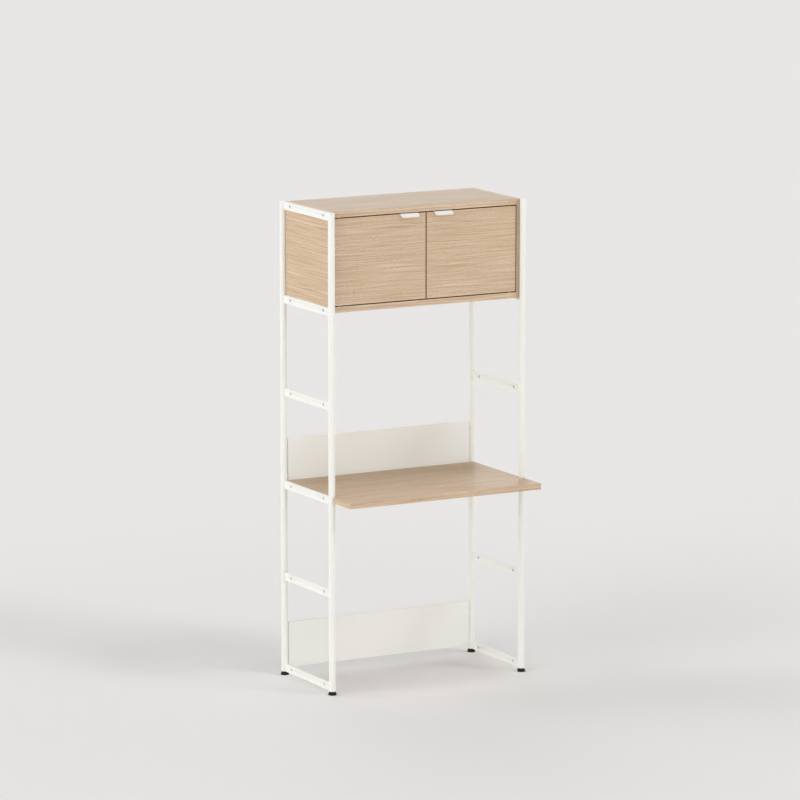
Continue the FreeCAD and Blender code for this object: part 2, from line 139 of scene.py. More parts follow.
# Door catches
catch_arris = 1.2 * MM
catch_past_strike = 4.0 * MM
catch_screw_head_depth = 2.0 * MM
catch_screw_pitch = 26.0 * MM
pole_width = 1.2 * MM
pole_proud = 0.1 * MM
pole_offset = 3.0 * MM
pole_inset = 5.0 * MM
pole_depth = 6.0 * MM

# Studio: sizes in metres, and the ring's heights as the sine of an elevation
floor_reach = 60.0
floor_thickness = 0.05
# The floor is painted darker as shade within the first reach of the object, fading out by the second
painted_floor_shade_within = 0.5
painted_floor_shade_ends_beyond = 3.5
ring_strength = 1.89
ring_full_below = 0.2
ring_ends_at = 0.42

# The way to each softbox, its strength and its spread in degrees
softboxes = {
    "left_softbox": ((-1.0, -0.25, 0.58), 0.9, 42),
    "front_right_softbox": ((0.6, -0.8, 0.75), 0.64, 16),
    "overhead_softbox": ((0.0, -0.17, 1.0), 0.67, 24),
    "rear_softbox": ((0.2, 0.9, 0.95), 0.31, 28),
    "rear_left_softbox": ((-0.7, 0.7, 0.95), 0.48, 28),
    "low_rear_softbox": ((0.48, 0.86, 0.22), 0.26, 30),
}

# Camera: sensor and lens in millimetres, reach and place in metres, dip and turn from the Y axis in radians
camera_sensor = 36.0
camera_lens = 222.244
camera_reach = 200.0
camera_place = (-8.71568, -15.83992, 4.21003)
camera_dip = 0.17293
camera_turn = 0.50066

# Steps of round shapes
TURN_STEPS = 72
ARC_STEPS = 24
BEND_STEPS = 6
ARRIS_STEPS = 3
BEAD_SIDES = 10
QUARTER_TURN = [radians(angle) for angle in range(0, 91, 15)]
BUTTON_TURN = [radians(angle) for angle in range(0, 61, 10)]

# Degrees by which an edge turns before it counts as a corner, on most pieces and on a drilled bar
SHARP_CORNER = 35
BAR_CORNER = 60

# How closely a face's normal follows an axis where the face is square to it
FLAT = 0.99

# Points nearer than this are one point
SAME_POINT = 0.001 * MM

# Sockets of a Mix node that is set to colour, and of a Random Value node that is set to float
MIX_A, MIX_B, MIX_RESULT = 6, 7, 2
RANDOM_MIN, RANDOM_MAX, RANDOM_VALUE = 2, 3, 1


def linear(hex_colour):
    """The linear RGBA of an sRGB hex colour."""
    channels = [int(hex_colour[i:i + 2], 16) / 255 for i in (1, 3, 5)]
    return [c / 12.92 if c <= 0.04045 else ((c + 0.055) / 1.055) ** 2.4 for c in channels] + [1.0]


def add_node(tree, kind, inputs=None, **options):
    """Add one node, set its options, and give its sockets their values or links."""
    node = tree.nodes.new(kind)
    for option, value in options.items():
        setattr(node, option, value)
    for socket, value in (inputs or {}).items():
        if isinstance(value, bpy.types.NodeSocket):
            tree.links.new(value, node.inputs[socket])
        else:
            node.inputs[socket].default_value = value
    return node


def blend(tree, share, first, second):
    """Mix two colours; the share is that of the second."""
    mix = add_node(tree, "ShaderNodeMix", {0: share, MIX_A: first, MIX_B: second}, data_type="RGBA")
    return mix.outputs[MIX_RESULT]


# Materials


def new_material(name):
    material = bpy.data.materials.new(name)
    material.use_nodes = True
    tree = material.node_tree
    return material, tree, tree.nodes["Principled BSDF"]


def powder_coated_steel():
    """Polyester powder baked on steel: an even warm white satin with a faint orange-peel skin."""
    material, tree, shader = new_material("powder_coated_steel_warm_white")
    place = add_node(tree, "ShaderNodeTexCoord").outputs["Object"]
    cloud = add_node(tree, "ShaderNodeTexNoise", {"Vector": place, "Scale": 1 / (160 * MM), "Detail": 2.0})
    tint = blend(tree, cloud.outputs["Fac"], linear("#EDEDE7"), linear("#F1F1EC"))
    peel = add_node(tree, "ShaderNodeTexNoise", {"Vector": place, "Scale": 1 / (1.6 * MM), "Detail": 1.0})
    satin = add_node(tree, "ShaderNodeMapRange", {
        "Value": peel.outputs["Fac"], "To Min": 0.52, "To Max": 0.62})
    skin = add_node(tree, "ShaderNodeBump", {
        "Height": peel.outputs["Fac"], "Strength": 0.25, "Distance": 0.03 * MM})
    tree.links.new(tint, shader.inputs["Base Color"])
    tree.links.new(satin.outputs["Result"], shader.inputs["Roughness"])
    tree.links.new(skin.outputs["Normal"], shader.inputs["Normal"])
    return material


def drawn_noise(tree, place, along, across, detail, roughness=0.5):
    """Noise that is drawn out along the grain, with its real sizes along and across it."""
    scaled = add_node(tree, "ShaderNodeVectorMath", {
        0: place, 1: (1 / along, 1 / across, 1.0)}, operation="MULTIPLY")
    noise = add_node(tree, "ShaderNodeTexNoise", {
        "Vector": scaled.outputs[0], "Scale": 1.0, "Detail": detail, "Roughness": roughness})
    return noise.outputs


def oak_veneer():
    """Rift-cut oak veneer under matt lacquer: long pale streaks, short dark pores, a dull sheen.

    The grain attribute of each board gives the place along, across and into the veneer. Its painted gap shade
    attribute is one on the faces in the door gaps, which get dark brown painted on as shade, and the painted
    level shade darkens the veneer on its level faces as painted shade.
    """
    material, tree, shader = new_material("oak_veneer_matt_lacquer")
    grain = add_node(tree, "ShaderNodeAttribute", attribute_name="grain").outputs["Vector"]

    # The grain bends by up to 14 mm
    drift = drawn_noise(tree, grain, 600 * MM, 150 * MM, 1.0)["Color"]
    bent = add_node(tree, "ShaderNodeVectorMath", {
        0: drift, 1: (0.0, 14 * MM, 0.0), 2: grain}, operation="MULTIPLY_ADD").outputs[0]

    # Growth rings, wide bands and pores; real pores are finer, and are drawn 0.7 mm wide so that they show
    rings = drawn_noise(tree, bent, 240 * MM, 4.4 * MM, 3.0, roughness=0.6)["Fac"]
    bands = drawn_noise(tree, bent, 700 * MM, 38 * MM, 2.0)["Fac"]
    pores = drawn_noise(tree, bent, 14 * MM, 0.7 * MM, 1.0)["Fac"]
    ring_share = add_node(tree, "ShaderNodeMapRange", {"Value": rings, "From Min": 0.32, "From Max": 0.68})
    band_share = add_node(tree, "ShaderNodeMapRange", {
        "Value": bands, "From Min": 0.35, "From Max": 0.7, "To Max": 0.5})
    pore_share = add_node(tree, "ShaderNodeMapRange", {
        "Value": pores, "From Min": 0.56, "From Max": 0.68, "To Max": 0.5})
    wood = blend(tree, ring_share.outputs["Result"], linear("#BCA083"), linear("#E3CDB4"))
    warm = blend(tree, band_share.outputs["Result"], wood, linear("#CFB497"))
    pored = blend(tree, pore_share.outputs["Result"], warm, linear("#9C7F60"))

    # Painted shade: dark brown in the door gaps, and darker level faces on some boards
    painted_gap_shade = add_node(tree, "ShaderNodeAttribute", attribute_name="painted_gap_shade").outputs["Fac"]
    gap_shade_painted = blend(tree, painted_gap_shade, pored, linear("#5C3A1D"))
    painted_level_shade = add_node(tree, "ShaderNodeAttribute", attribute_name="painted_level_shade").outputs["Fac"]
    left_over = add_node(tree, "ShaderNodeMath", {0: 1.0, 1: painted_level_shade}, operation="SUBTRACT")
    level_shaded = add_node(tree, "ShaderNodeVectorMath", {
        0: gap_shade_painted, "Scale": left_over.outputs[0]}, operation="SCALE")

    # The lacquer is a little duller on the dark rings, dull where the gap shade is painted, and sinks into
    # the pores
    sheen = add_node(tree, "ShaderNodeMapRange", {
        "Value": rings, "From Min": 0.3, "From Max": 0.7, "To Min": 0.42, "To Max": 0.34})
    dull = add_node(tree, "ShaderNodeMath", {
        0: painted_gap_shade, 1: 0.5, 2: sheen.outputs["Result"]}, operation="MULTIPLY_ADD")
    dents = add_node(tree, "ShaderNodeBump", {
        "Height": pore_share.outputs["Result"], "Strength": 0.5, "Distance": 0.05 * MM}, invert=True)
    tree.links.new(level_shaded.outputs[0], shader.inputs["Base Color"])
    tree.links.new(dull.outputs[0], shader.inputs["Roughness"])
    shader.inputs["Specular IOR Level"].default_value = 0.04
    tree.links.new(dents.outputs["Normal"], shader.inputs["Normal"])
    return material


def raw_beech():
    """Turned beech dowel: plain pinkish wood with short dark flecks along its length."""
    material, tree, shader = new_material("raw_beech")
    place = add_node(tree, "ShaderNodeTexCoord").outputs["Object"]
    stretched = add_node(tree, "ShaderNodeVectorMath", {
        0: place, 1: (1 / (6 * MM), 1 / (0.8 * MM), 1 / (0.8 * MM))}, operation="MULTIPLY")
    flecks = add_node(tree, "ShaderNodeTexNoise", {
        "Vector": stretched.outputs[0], "Scale": 1.0, "Detail": 2.0})
    wood = blend(tree, flecks.outputs["Fac"], linear("#B98F66"), linear("#D9B48B"))
    tree.links.new(wood, shader.inputs["Base Color"])
    shader.inputs["Roughness"].default_value = 0.7
    return material


def moulded_plastic(name, dark, light, roughness):
    """Injection-moulded plastic with a fine spark-eroded grain, which dulls and breaks the shine.

    A real grain is finer, and is drawn 0.9 mm wide so that it shows.
    """
    material, tree, shader = new_material(name)
    place = add_node(tree, "ShaderNodeTexCoord").outputs["Object"]
    spark = add_node(tree, "ShaderNodeTexNoise", {"Vector": place, "Scale": 1 / (0.9 * MM), "Detail": 2.0})
    tint = blend(tree, spark.outputs["Fac"], linear(dark), linear(light))
    dull = add_node(tree, "ShaderNodeMapRange", {
        "Value": spark.outputs["Fac"], "To Min": roughness - 0.06, "To Max": roughness + 0.06})
    grain = add_node(tree, "ShaderNodeBump", {
        "Height": spark.outputs["Fac"], "Strength": 0.3, "Distance": 0.04 * MM})
    tree.links.new(tint, shader.inputs["Base Color"])
    tree.links.new(dull.outputs["Result"], shader.inputs["Roughness"])
    tree.links.new(grain.outputs["Normal"], shader.inputs["Normal"])
    shader.inputs["Specular IOR Level"].default_value = 0.3
    return material


def bright_metal(name, dark, light, roughness):
    """Plated or turned metal: a cloudy tint and fine marks that soften its reflections."""
    material, tree, shader = new_material(name)
    place = add_node(tree, "ShaderNodeTexCoord").outputs["Object"]
    cloud = add_node(tree, "ShaderNodeTexNoise", {"Vector": place, "Scale": 1 / (2.5 * MM), "Detail": 3.0})
    tint = blend(tree, cloud.outputs["Fac"], linear(dark), linear(light))
    marks = add_node(tree, "ShaderNodeMapRange", {
        "Value": cloud.outputs["Fac"], "To Min": roughness - 0.08, "To Max": roughness + 0.08})
    tree.links.new(tint, shader.inputs["Base Color"])
    tree.links.new(marks.outputs["Result"], shader.inputs["Roughness"])
    shader.inputs["Metallic"].default_value = 1.0
    return material


finishes = {
    "white_steel": powder_coated_steel(),
    "oak": oak_veneer(),
    "beech": raw_beech(),
    "black_plastic": moulded_plastic("moulded_black_polypropylene", "#0B0B0C", "#131314", 0.6),
    "white_plastic": moulded_plastic("moulded_white_polypropylene", "#ECEBE5", "#F2F1EC", 0.45),
    "zinc_steel": bright_metal("bright_zinc_plated_steel", "#ADADAA", "#CBCBC8", 0.36),
    "brass": bright_metal("turned_brass", "#B08D4A", "#CDAA66", 0.3),
}


# Shaping


def new_piece(name, mesh):
    piece = bpy.data.objects.new(name, mesh)
    bpy.context.scene.collection.objects.link(piece)
    return piece


def from_bmesh(name, shape):
    mesh = bpy.data.meshes.new(name)
    shape.to_mesh(mesh)
    shape.free()
    return new_piece(name, mesh)


def settle(piece):
    """Turn a piece and its modifiers into one plain mesh."""
    depsgraph = bpy.context.evaluated_depsgraph_get()
    solved = piece.evaluated_get(depsgraph)
    mesh = bpy.data.meshes.new_from_object(solved, preserve_all_data_layers=True, depsgraph=depsgraph)
    piece.modifiers.clear()
    piece.data = mesh


def block(name, low, high):
    """Square-edged block between two corners."""
    low, high = Vector(low), Vector(high)
    place = Matrix.Translation((low + high) / 2) @ Matrix.Diagonal((*(high - low), 1.0))
    shape = bmesh.new()
    bmesh.ops.create_cube(shape, size=1.0, matrix=place)
    return from_bmesh(name, shape)


def prism(name, outline, low, high):
    """Upright prism over an outline of X and Y, between two heights."""
    shape = bmesh.new()
    under = shape.faces.new([shape.verts.new((x, y, low)) for x, y in outline])
    raised = bmesh.ops.extrude_face_region(shape, geom=[under])["geom"]
    top = [vertex for vertex in raised if isinstance(vertex, bmesh.types.BMVert)]
    bmesh.ops.translate(shape, verts=top, vec=(0, 0, high - low))
    bmesh.ops.recalc_face_normals(shape, faces=shape.faces)
    return from_bmesh(name, shape)


def turned(name, profile, foot, closed=False):
    """Lathe work about an upright axis through foot; the profile is a list of radius and height."""
    shape = bmesh.new()
    points = [shape.verts.new((radius, 0.0, height)) for radius, height in profile]
    pairs = list(zip(points, points[1:])) + ([(points[-1], points[0])] if closed else [])
    edges = [shape.edges.new(pair) for pair in pairs]
    bmesh.ops.spin(
        shape, geom=points + edges, cent=(0, 0, 0), axis=(0, 0, 1), angle=2 * pi, steps=TURN_STEPS)
    bmesh.ops.remove_doubles(shape, verts=shape.verts, dist=SAME_POINT)
    bmesh.ops.recalc_face_normals(shape, faces=shape.faces)
    bmesh.ops.translate(shape, verts=shape.verts, vec=foot)
    piece = from_bmesh(name, shape)
    smooth(piece)
    return piece


def smooth(piece):
    """Smooth shading that keeps the real corners sharp."""
    piece.data.shade_smooth()
    piece.data.set_sharp_from_angle(angle=radians(SHARP_CORNER))


def cut(piece, *cutters):
    """Cut other shapes out of a piece, and use them up."""
    for cutter in cutters:
        modifier = piece.modifiers.new(cutter.name, "BOOLEAN")
        modifier.operation = "DIFFERENCE"
        modifier.object = cutter
    settle(piece)
    for cutter in cutters:
        bpy.data.objects.remove(cutter)


def soften(piece, radius, corner=SHARP_CORNER):
    """Round the corners of a piece that turn by more than so many degrees; its flat faces stay flat."""
    modifier = piece.modifiers.new("arris", "BEVEL")
    modifier.width = radius
    modifier.segments = ARRIS_STEPS
    modifier.limit_method = "ANGLE"
    modifier.angle_limit = radians(corner)
    modifier.harden_normals = True
    piece.data.shade_smooth()
    settle(piece)


def score(piece, y):
    """Divide the faces of a piece along a plane across Y."""
    shape = bmesh.new()
    shape.from_mesh(piece.data)
    parts = shape.verts[:] + shape.edges[:] + shape.faces[:]
    bmesh.ops.bisect_plane(shape, geom=parts, plane_co=(0, y, 0), plane_no=(0, 1, 0))
    shape.to_mesh(piece.data)
    shape.free()


def lay_grain(piece, along, sheet, painted_level_shade=0.0, gap_shade_painted=None):
    """Write each face corner's place on the veneer, and the shade painted on its face.

    The grain runs along one axis, and along an end face's longer side. Boards with the same sheet number are
    cut from one sheet. The picked faces get dark brown painted on, as the shade in the door gaps.
    """
    mesh = piece.data
    size = piece.dimensions
    mesh.attributes.new("grain", "FLOAT_VECTOR", "CORNER")
    mesh.attributes.new("painted_gap_shade", "FLOAT", "CORNER")
    mesh.attributes.new("painted_level_shade", "FLOAT", "CORNER")
    grain, painted_gap_shade, level_shade = (mesh.attributes[name].data for name in ("grain", "painted_gap_shade", "painted_level_shade"))
    for face in mesh.polygons:
        facing = max((X, Y, Z), key=lambda axis: abs(face.normal[axis]))
        sides = [axis for axis in (X, Y, Z) if axis != facing]
        run = along if along in sides else max(sides, key=lambda axis: size[axis])
        across = sum(sides) - run
        # Faces in the door gaps get dark brown painted on, as shade
        dark = float(gap_shade_painted is not None and gap_shade_painted(face))
        for corner in face.loop_indices:
            place = mesh.vertices[mesh.loops[corner].vertex_index].co
            grain[corner].vector = (place[run], place[across], sheet_step * sheet + facing)
            painted_gap_shade[corner].value = dark
            # Level faces get the painted level shade, darker as shade
            level_shade[corner].value = painted_level_shade if facing == Z else 0.0


def dress(piece, slot, body, *nodes):
    """Give a finished piece its material and body, and let it stand for these CAD nodes."""
    piece.data.materials.clear()
    piece.data.materials.append(finishes[slot])
    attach(piece, body)
    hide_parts(*nodes)


# Geometry Nodes trees


def new_tree(name, sockets):
    """A Geometry Nodes tree with these named inputs beside its geometry and finish."""
    tree = bpy.data.node_groups.new(name, "GeometryNodeTree")
    inputs = {"Geometry": "NodeSocketGeometry", **sockets, "Finish": "NodeSocketMaterial"}
    for socket, kind in inputs.items():
        tree.interface.new_socket(socket, in_out="INPUT", socket_type=kind)
    tree.interface.new_socket("Geometry", in_out="OUTPUT", socket_type="NodeSocketGeometry")
    return tree, tree.nodes.new("NodeGroupInput").outputs


def end_tree(tree, geometry, finish):
    real = add_node(tree, "GeometryNodeRealizeInstances", {"Geometry": geometry})
    dressed = add_node(tree, "GeometryNodeSetMaterial", {
        "Geometry": real.outputs["Geometry"], "Material": finish})
    add_node(tree, "NodeGroupOutput", {"Geometry": dressed.outputs["Geometry"]})


def run_tree(piece, tree, slot, **values):
    """Run a tree on a piece's mesh, and keep the result as its mesh."""
    modifier = piece.modifiers.new(tree.name, "NODES")
    modifier.node_group = tree
    values["Finish"] = finishes[slot]
    for item in tree.interface.items_tree:
        if item.in_out == "INPUT" and item.name in values:
            modifier[item.identifier] = values[item.name]
    settle(piece)


def ladder_tree():
    """Repeats one rung upwards at a steady pitch."""
    tree, given = new_tree("ladder_rungs", {"Levels": "NodeSocketInt", "Pitch": "NodeSocketFloat"})
    step = add_node(tree, "ShaderNodeCombineXYZ", {"Z": given["Pitch"]})
    levels = add_node(tree, "GeometryNodeMeshLine", {"Count": given["Levels"], "Offset": step.outputs[0]})
    rungs = add_node(tree, "GeometryNodeInstanceOnPoints", {
        "Points": levels.outputs["Mesh"], "Instance": given["Geometry"]})
    end_tree(tree, rungs.outputs["Instances"], given["Finish"])
    return tree


def fastener_tree():
    """Sets one part on each point, turned to the point's facing and then by chance about it."""
    tree, given = new_tree("fasteners", {
        "Part": "NodeSocketObject", "Turn": "NodeSocketFloat", "Seed": "NodeSocketInt"})
    part = add_node(tree, "GeometryNodeObjectInfo", {"Object": given["Part"]})
    facing = add_node(tree, "GeometryNodeInputNamedAttribute", {"Name": "facing"}, data_type="FLOAT_VECTOR")
    aimed = add_node(tree, "FunctionNodeAlignRotationToVector", {"Vector": facing.outputs[0]}, axis="Z")
    chance = add_node(tree, "FunctionNodeRandomValue", {
        RANDOM_MIN: 0.0, RANDOM_MAX: given["Turn"], "Seed": given["Seed"]}, data_type="FLOAT")
    turn = add_node(tree, "ShaderNodeCombineXYZ", {"Z": chance.outputs[RANDOM_VALUE]})
    spin = add_node(tree, "FunctionNodeEulerToRotation", {0: turn.outputs[0]})
    turned_by = add_node(tree, "FunctionNodeRotateRotation", {
        0: aimed.outputs[0], 1: spin.outputs[0]}, rotation_space="LOCAL")
    parts = add_node(tree, "GeometryNodeInstanceOnPoints", {
        "Points": given["Geometry"], "Instance": part.outputs["Geometry"],
        "Rotation": turned_by.outputs[0]})
    end_tree(tree, parts.outputs["Instances"], given["Finish"])
    return tree


def weld_tree():
    """Runs a round bead with a slight ripple along each line of the mesh."""
    tree, given = new_tree("weld_beads", {
        "Radius": "NodeSocketFloat", "Step": "NodeSocketFloat", "Ripple": "NodeSocketFloat",
        "Ripple length": "NodeSocketFloat", "Seed": "NodeSocketFloat"})
    lines = add_node(tree, "GeometryNodeMeshToCurve", {"Mesh": given["Geometry"]})
    steps = add_node(tree, "GeometryNodeResampleCurve", {
        "Curve": lines.outputs["Curve"], "Length": given["Step"]}, mode="LENGTH")
    place = add_node(tree, "GeometryNodeInputPosition")
    waves = add_node(tree, "ShaderNodeMath", {0: 1.0, 1: given["Ripple length"]}, operation="DIVIDE")
    ripple = add_node(tree, "ShaderNodeTexNoise", {
        "Vector": place.outputs[0], "W": given["Seed"], "Scale": waves.outputs[0]}, noise_dimensions="4D")
    swell = add_node(tree, "ShaderNodeMath", {
        0: ripple.outputs["Fac"], 1: given["Ripple"], 2: 1.0}, operation="MULTIPLY_ADD")
    rippled = add_node(tree, "GeometryNodeSetCurveRadius", {
        "Curve": steps.outputs["Curve"], "Radius": swell.outputs[0]})
    section = add_node(tree, "GeometryNodeCurvePrimitiveCircle", {
        "Resolution": BEAD_SIDES, "Radius": given["Radius"]})
    beads = add_node(tree, "GeometryNodeCurveToMesh", {
        "Curve": rippled.outputs["Curve"], "Profile Curve": section.outputs["Curve"], "Fill Caps": True})
    end_tree(tree, beads.outputs["Mesh"], given["Finish"])
    return tree


trees = {"rungs": ladder_tree(), "fasteners": fastener_tree(), "welds": weld_tree()}


def set_fasteners(name, part, places, slot, body, *nodes, turn=2 * pi):
    """Set a part on places, each a point and the way it faces, as one piece; the part is used up."""
    mesh = bpy.data.meshes.new(name)
    mesh.from_pydata([point for point, _ in places], [], [])
    facing = mesh.attributes.new("facing", "FLOAT_VECTOR", "POINT")
    for entry, (_, way) in zip(facing.data, places):
        entry.vector = way
    piece = new_piece(name, mesh)
    run_tree(piece, trees["fasteners"], slot, Part=part, Turn=turn, Seed=len(places))
    smooth(piece)
    bpy.data.objects.remove(part)
    dress(piece, slot, body, *nodes)


# Fasteners


def drive(name, outline, top, depth):
    """Cutter for a recess in the top of a screw, turned half a lathe step to keep corners off edges."""
    c, s = cos(pi / TURN_STEPS), sin(pi / TURN_STEPS)
    return prism(name, [(x * c - y * s, x * s + y * c) for x, y in outline], top - depth, top + depth)


def socket_drive(width, depth, top=0.0):
    """Hexagon socket of a width across its flats."""
    corner = width / sqrt(3)
    outline = [(corner * cos(radians(angle)), corner * sin(radians(angle))) for angle in range(0, 360, 60)]
    return drive("hexagon", outline, top, depth)


def cross_drive(head_radius, top=0.0):
    """Cross recess in proportion to a head."""
    span, half = cross_span_share * head_radius, cross_arm_share * head_radius
    arm = [(span, -half), (span, half), (half, half)]
    outline = []
    for _ in range(4):
        outline += arm
        arm = [(-y, x) for x, y in arm]
    return drive("cross", outline, top, recess_depth)


def set_screw_part():
    """Headless socket screw whose top is at Z = 0, with a plain pin below its thread."""
    rim = set_screw_radius - screw_chamfer
    tip = -set_screw_length - set_screw_pin_length
    profile = [(0, tip), (set_screw_pin_radius, tip), (set_screw_pin_radius, -set_screw_length),
               (set_screw_radius, -set_screw_length), (set_screw_radius, -screw_chamfer), (rim, 0), (0, 0)]
    part = turned("set_screw", profile, (0, 0, 0))
    cut(part, socket_drive(set_screw_socket, set_screw_socket_depth))
    return part


def button_screw_part(shank_length):
    """Button-head socket screw whose seat is at Z = 0."""
    shank, radius, height = panel_screw_radius, panel_screw_head_radius, panel_screw_head_height
    rise, last = 1 - button_rim_share, sin(BUTTON_TURN[-1])
    dome = [(radius * cos(turn), height * (button_rim_share + rise * sin(turn) / last))
            for turn in BUTTON_TURN]
    profile = [(0, -shank_length), (shank, -shank_length), (shank, 0), (radius, 0)]
    part = turned("button_screw", profile + dome + [(0, height)], (0, 0, 0))
    cut(part, socket_drive(panel_screw_socket, panel_screw_socket_depth, height))
    return part


def pan_screw_part(shank_length):
    """Low pan-head screw with a cross recess, whose seat is at Z = 0."""
    shank, radius, height = flat_screw_radius, flat_screw_head_radius, pan_screw_head_height
    edge = height * pan_edge_share
    dome = [(radius - edge + edge * cos(turn), height - edge + edge * sin(turn)) for turn in QUARTER_TURN]
    profile = [(0, -shank_length), (shank, -shank_length), (shank, 0), (radius, 0)]
    part = turned("pan_screw", profile + dome + [(0, height)], (0, 0, 0))
    cut(part, cross_drive(radius, height))
    return part


def countersunk_screw_part(head_radius, head_depth, shank_radius, shank_length):
    """Countersunk screw with a cross recess, whose flat top is at Z = 0."""
    profile = [(0, -shank_length), (shank_radius, -shank_length), (shank_radius, -head_depth),
               (head_radius, -countersunk_rim), (head_radius, 0), (0, 0)]
    part = turned("countersunk_screw", profile, (0, 0, 0))
    cut(part, cross_drive(head_radius))
    return part


# Ladders


def upright_axis(side, end):
    low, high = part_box(f"{side}_{end}_upright")
    return (low + high) / 2


def make_uprights():
    for side in SIDES:
        for end in ENDS:
            node = f"{side}_{end}_upright"
            low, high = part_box(node)
            axis = upright_axis(side, end)
            outer = (high.x - low.x) / 2
            inner = outer - tube_wall
            length = high.z - low.z
            profile = [(inner, 0), (outer - tube_chamfer, 0), (outer, tube_chamfer),
                       (outer, length - tube_chamfer), (outer - tube_chamfer, length), (inner, length)]
            tube = turned(node + "_tube", profile, (axis.x, axis.y, low.z), closed=True)
            dress(tube, "white_steel", "frame", node)


def rung_nodes(side):
    return sorted(node for node in frame["nodes"] if node.startswith(side + "_rung_"))


def hole_places(side):
    """The two holes of the lowest rung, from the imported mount, and their radius."""
    mount = next(m for m in frame["record"]["mounts"] if m["name"] == side + "_rung_1_holes")
    middle = Vector(mount["pos_m"])
    half = mount["dims"]["spacing_x_mm"] * MM / 2
    return [middle - Vector((0, half, 0)), middle + Vector((0, half, 0))], mount["dims"]["hole_r_mm"] * MM


def make_rungs():
    for side in SIDES:
        nodes = rung_nodes(side)
        low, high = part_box(nodes[0])
        run = Vector((0, bar_weld_run, 0))
        bar = block(side + "_ladder_rungs", low - run, high + run)
        places, radius = hole_places(side)
        thickness = high.x - low.x
        over, past = radius + 2 * hole_chamfer, thickness + hole_chamfer
        profile = [(0, -hole_chamfer), (over, -hole_chamfer), (radius, hole_chamfer),
                   (radius, thickness - hole_chamfer), (over, past), (0, past)]
        lay_down = Matrix.Rotation(pi / 2, 4, "Y")
        for place in places:
            spool = turned("spool", profile, (0, 0, 0))
            spool.data.transform(Matrix.Translation((low.x, place.y, place.z)) @ lay_down)
            cut(bar, spool)
        soften(bar, bar_arris, BAR_CORNER)
        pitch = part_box(nodes[1])[0].z - low.z
        run_tree(bar, trees["rungs"], "white_steel", Levels=len(nodes), Pitch=pitch)
        dress(bar, "white_steel", "frame", *nodes)


def make_threads():
    """Bare cut threads and chamfers in all the holes of the rungs."""
    for side, sign in SIDES.items():
        nodes = rung_nodes(side)
        low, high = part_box(nodes[0])
        holes, radius = hole_places(side)
        thickness = high.x - low.x
        turns = int((thickness - 2 * hole_chamfer) / thread_pitch)
        pitch = (thickness - 2 * hole_chamfer) / turns
        mouth = radius + hole_chamfer
        bore = [(mouth - thread_skin, 0.0)]
        for turn in range(turns):
            start = -hole_chamfer - turn * pitch
            bore += [(radius - thread_skin, start), (radius - thread_depth, start - pitch / 2)]
        bore += [(radius - thread_skin, hole_chamfer - thickness), (mouth - thread_skin, -thickness)]
        back = [(mouth, -thickness), (radius, hole_chamfer - thickness),
                (radius, -hole_chamfer), (mouth, 0.0)]
        part = turned("thread", bore + back, (0, 0, 0), closed=True)
        face = high.x if sign > 0 else low.x
        places = []
        for node in nodes:
            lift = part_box(node)[0].z - low.z
            places += [(Vector((face, hole.y, hole.z + lift)), (sign, 0, 0)) for hole in holes]
        set_fasteners(side + "_rung_threads", part, places, "zinc_steel", "frame")


def make_weld_beads():
    """Beads on both faces of each rung where it meets an upright."""
    for side in SIDES:
        points, lines = [], []
        for end, inward in zip(ENDS, (1, -1)):
            low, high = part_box(f"{side}_{end}_upright")
            axis = upright_axis(side, end)
            for node in rung_nodes(side):
                rung_low, rung_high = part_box(node)
                half = (rung_high.x - rung_low.x) / 2
                y = axis.y + inward * sqrt(((high.x - low.x) / 2) ** 2 - half ** 2)
                top = min(rung_high.z, high.z) - bead_end
                for x in (rung_low.x, rung_high.x):
                    lines.append((len(points), len(points) + 1))
                    points += [(x, y, rung_low.z + bead_end), (x, y, top)]
        mesh = bpy.data.meshes.new(side + "_weld_beads")
        mesh.from_pydata(points, lines, [])
        beads = new_piece(side + "_weld_beads", mesh)
        run_tree(beads, trees["welds"], "white_steel", Radius=bead_radius, Step=bead_step,
                 Ripple=bead_ripple, **{"Ripple length": bead_ripple_length}, Seed=bead_seed)
        smooth(beads)
        dress(beads, "white_steel", "frame")


def make_top_caps():
    low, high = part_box("left_front_upright")
    radius = (high.x - low.x) / 2
    plug = radius - tube_wall - cap_plug_play
    edge = [(radius - cap_edge_radius * (1 - cos(turn)), cap_thickness - cap_edge_radius * (1 - sin(turn)))
            for turn in QUARTER_TURN]
    profile = [(0, -cap_plug_length), (plug, -cap_plug_length), (plug, 0), (radius, 0)]
    cap = turned("cap", profile + edge + [(0, cap_thickness)], (0, 0, 0))
    tops = [Vector((*upright_axis(side, end).xy, high.z)) for side in SIDES for end in ENDS]
    set_fasteners("upright_caps", cap, [(top, (0, 0, 1)) for top in tops], "white_plastic", "frame",
                  "upright_top_caps")


def make_feet():
    for side in SIDES:
        for end in ENDS:
            node = f"{side}_{end}_foot"
            low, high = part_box(node)
            base, height = (high.x - low.x) / 2, high.z - low.z
            floor_edge = [(base - foot_floor_edge * (1 - sin(turn)), foot_floor_edge * (1 - cos(turn)))
                          for turn in QUARTER_TURN]
            top_edge = [(foot_top_radius - foot_top_edge * (1 - cos(turn)),
                         height - foot_top_edge * (1 - sin(turn))) for turn in QUARTER_TURN]
            profile = [(0, 0)] + floor_edge + [(base, foot_rim_height)] + top_edge + [(0, height)]
            middle = (low + high) / 2
            pad = turned(node + "_pad", profile, (middle.x, middle.y, low.z))
            dress(pad, "black_plastic", node, node)


# Back panels


def make_back_panels():
    for node in ("lower_back_panel", "upper_back_panel"):
        panel = block(node + "_tray", *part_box(node))
        shape = bmesh.new()
        shape.from_mesh(panel.data)
        rear = [face for face in shape.faces if face.normal.y > FLAT]
        bmesh.ops.delete(shape, geom=rear, context="FACES_ONLY")
        shape.to_mesh(panel.data)
        shape.free()
        soften(panel, panel_fold_radius)
        wall = panel.modifiers.new("sheet", "SOLIDIFY")
        wall.thickness = panel_sheet
        wall.offset = -1
        wall.use_even_offset = True
        settle(panel)
        soften(panel, sheet_arris)
        dress(panel, "white_steel", "frame", node)
    make_panel_screws()


